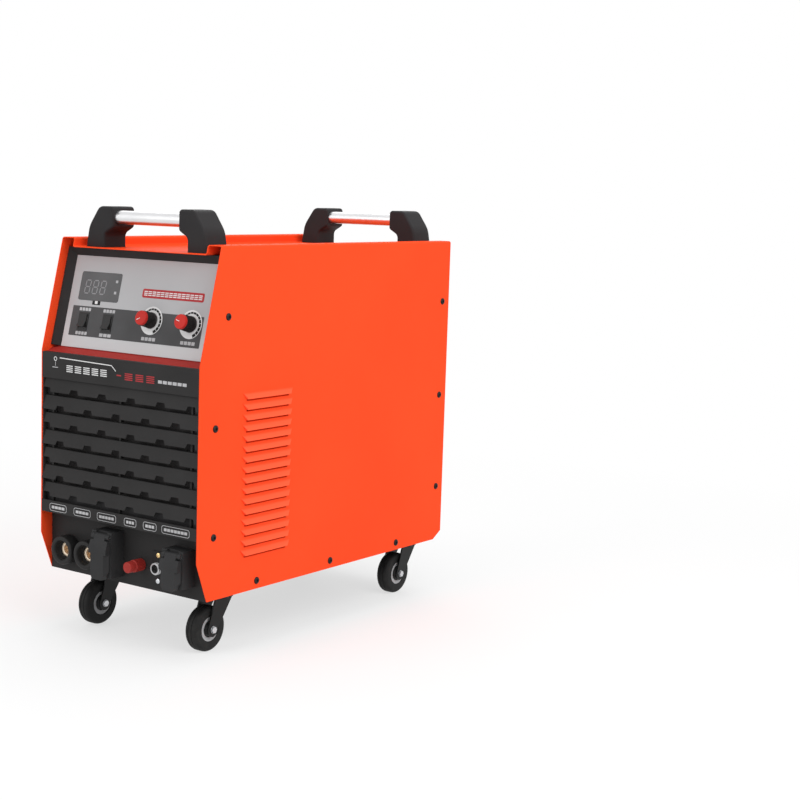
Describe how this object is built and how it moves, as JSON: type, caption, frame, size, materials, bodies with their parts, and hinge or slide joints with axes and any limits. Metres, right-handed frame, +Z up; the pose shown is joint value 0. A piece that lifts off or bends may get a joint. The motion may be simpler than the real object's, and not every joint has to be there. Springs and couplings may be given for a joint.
{
  "type": "plasma cutter unit",
  "caption": "Wheeled plasma cutting power unit: orange sheet cabinet, leaning control panel, louvred front, torch and work sockets, lidded outlets, carrying handles and swivel casters",
  "frame": {"origin": "on the ground under the middle of the unit's bounding box", "axes": "+X to the right seen from the front, +Y from front to back, +Z up"},
  "size_m": [0.359, 0.721, 0.7085],
  "materials": {
    "cover_paint": "fine satin powder coat, orange red",
    "body_paint": "satin powder coat, near black",
    "bezel_plastic": "fine textured",
    "fascia_metal": "satin, printed",
    "lens_plastic": "smoked, polished",
    "board_plastic": "green laminate",
    "switch_plastic": "polished",
    "knob_plastic": "satin",
    "cap_plastic": "satin, red",
    "grille_plastic": "fine textured",
    "socket_plastic": "satin",
    "lid_plastic": "fine textured",
    "brass": "turned",
    "chrome": "polished",
    "handle_plastic": "fine textured",
    "black_steel": "blackened",
    "zinc": "bright zinc plate",
    "tyre": "matte",
    "fan_plastic": "moulded",
    "sink_metal": "extruded",
    "core_metal": "laminated and varnished",
    "pump_metal": "cast",
    "inner_steel": "galvanised"
  },
  "bodies": {
    "cabinet": {"outer_cover": "cover_paint", "base_pan": "body_paint", "front_frame": "body_paint", "control_bezel": "bezel_plastic", "fascia_plate": "fascia_metal", "display_lens": "lens_plastic", "control_board": "board_plastic", "rocker_housings": "switch_plastic", "louvre_grille": "grille_plastic", "socket_panel": "body_paint", "work_socket": "socket_plastic", "torch_socket": "socket_plastic", "socket_inserts": "brass", "outlet_bases": "lid_plastic", "outlet_pins": "zinc", "binding_post_stud": "brass", "connector_flange": "socket_plastic", "connector_shell": "chrome", "connector_insert": "socket_plastic", "connector_screws": "zinc", "handle_ends": "handle_plastic", "handle_tubes": "chrome", "cover_screws": "black_steel", "rear_panel": "body_paint", "fan_frame": "fan_plastic", "fan_guard": "zinc", "breaker_body": "switch_plastic", "cable_gland": "socket_plastic", "air_inlet": "brass", "caster_plates": "black_steel", "frame_bolts": "zinc", "centre_partition": "inner_steel", "heatsink": "sink_metal", "power_board": "board_plastic", "main_transformer": "core_metal", "output_choke": "core_metal", "air_compressor": "pump_metal"},
    "left_rocker": {"rocker_left": "switch_plastic"},
    "right_rocker": {"rocker_right": "switch_plastic"},
    "left_knob": {"knob_left": "knob_plastic", "knob_cap_left": "cap_plastic"},
    "right_knob": {"knob_right": "knob_plastic", "knob_cap_right": "cap_plastic"},
    "left_lid": {"outlet_lid_left": "lid_plastic"},
    "right_lid": {"outlet_lid_right": "lid_plastic"},
    "post_cap": {"binding_post_cap": "cap_plastic"},
    "toggle": {"breaker_toggle": "switch_plastic"},
    "rotor": {"fan_rotor": "fan_plastic"},
    "fork_front_left": {"caster_fork_front_left": "black_steel", "caster_axle_front_left": "zinc"},
    "wheel_front_left": {"caster_wheel_front_left": "tyre"},
    "fork_front_right": {"caster_fork_front_right": "black_steel", "caster_axle_front_right": "zinc"},
    "wheel_front_right": {"caster_wheel_front_right": "tyre"},
    "fork_rear_left": {"caster_fork_rear_left": "black_steel", "caster_axle_rear_left": "zinc"},
    "wheel_rear_left": {"caster_wheel_rear_left": "tyre"},
    "fork_rear_right": {"caster_fork_rear_right": "black_steel", "caster_axle_rear_right": "zinc"},
    "wheel_rear_right": {"caster_wheel_rear_right": "tyre"}
  },
  "joints": [
    {"name": "left_rocker_tilt", "type": "hinge", "parent": "cabinet", "child": "left_rocker", "pos_m": [-0.117, -0.30449, 0.51876], "axis": [1, 0, 0], "range_deg": [0, 22]},
    {"name": "right_rocker_tilt", "type": "hinge", "parent": "cabinet", "child": "right_rocker", "pos_m": [-0.062, -0.30449, 0.51876], "axis": [1, 0, 0], "range_deg": [0, 22]},
    {"name": "left_knob_turn", "type": "hinge", "parent": "cabinet", "child": "left_knob", "pos_m": [0.034, -0.3048, 0.5312], "axis": [0, -0.9705, 0.2413], "range_deg": [-255, 25]},
    {"name": "right_knob_turn", "type": "hinge", "parent": "cabinet", "child": "right_knob", "pos_m": [0.118, -0.3048, 0.5312], "axis": [0, -0.9705, 0.2413], "range_deg": [-215, 65]},
    {"name": "left_lid_hinge", "type": "hinge", "parent": "cabinet", "child": "left_lid", "pos_m": [-0.027, -0.3495, 0.179], "axis": [-1, 0, 0], "range_deg": [0, 110], "stiffness_Nm_per_rad": 0.03, "springref_deg": -17.19},
    {"name": "right_lid_hinge", "type": "hinge", "parent": "cabinet", "child": "right_lid", "pos_m": [0.1285, -0.3495, 0.1725], "axis": [-1, 0, 0], "range_deg": [0, 110], "stiffness_Nm_per_rad": 0.03, "springref_deg": -17.19},
    {"name": "post_cap_turn", "type": "hinge", "parent": "cabinet", "child": "post_cap", "pos_m": [0.035, -0.3345, 0.138], "axis": [0, -1, 0], "range_deg": [0, 720]},
    {"name": "toggle_tilt", "type": "hinge", "parent": "cabinet", "child": "toggle", "pos_m": [-0.1, 0.3375, 0.3], "axis": [1, 0, 0], "range_deg": [0, 50]},
    {"name": "fan_spin", "type": "hinge", "parent": "cabinet", "child": "rotor", "pos_m": [0, 0.32, 0.47], "axis": [0, 1, 0], "continuous": true},
    {"name": "front_left_swivel", "type": "hinge", "parent": "cabinet", "child": "fork_front_left", "pos_m": [-0.122, -0.2345, 0.09], "axis": [0, 0, 1], "continuous": true},
    {"name": "front_left_roll", "type": "hinge", "parent": "fork_front_left", "child": "wheel_front_left", "pos_m": [-0.122, -0.2625, 0.0375], "axis": [1, 0, 0], "continuous": true},
    {"name": "front_right_swivel", "type": "hinge", "parent": "cabinet", "child": "fork_front_right", "pos_m": [0.122, -0.2345, 0.09], "axis": [0, 0, 1], "continuous": true},
    {"name": "front_right_roll", "type": "hinge", "parent": "fork_front_right", "child": "wheel_front_right", "pos_m": [0.122, -0.2625, 0.0375], "axis": [1, 0, 0], "continuous": true},
    {"name": "rear_left_swivel", "type": "hinge", "parent": "cabinet", "child": "fork_rear_left", "pos_m": [-0.122, 0.2935, 0.09], "axis": [0, 0, 1], "continuous": true},
    {"name": "rear_left_roll", "type": "hinge", "parent": "fork_rear_left", "child": "wheel_rear_left", "pos_m": [-0.122, 0.2655, 0.0375], "axis": [1, 0, 0], "continuous": true},
    {"name": "rear_right_swivel", "type": "hinge", "parent": "cabinet", "child": "fork_rear_right", "pos_m": [0.122, 0.2935, 0.09], "axis": [0, 0, 1], "continuous": true},
    {"name": "rear_right_roll", "type": "hinge", "parent": "fork_rear_right", "child": "wheel_rear_right", "pos_m": [0.122, 0.2655, 0.0375], "axis": [1, 0, 0], "continuous": true}
  ]
}
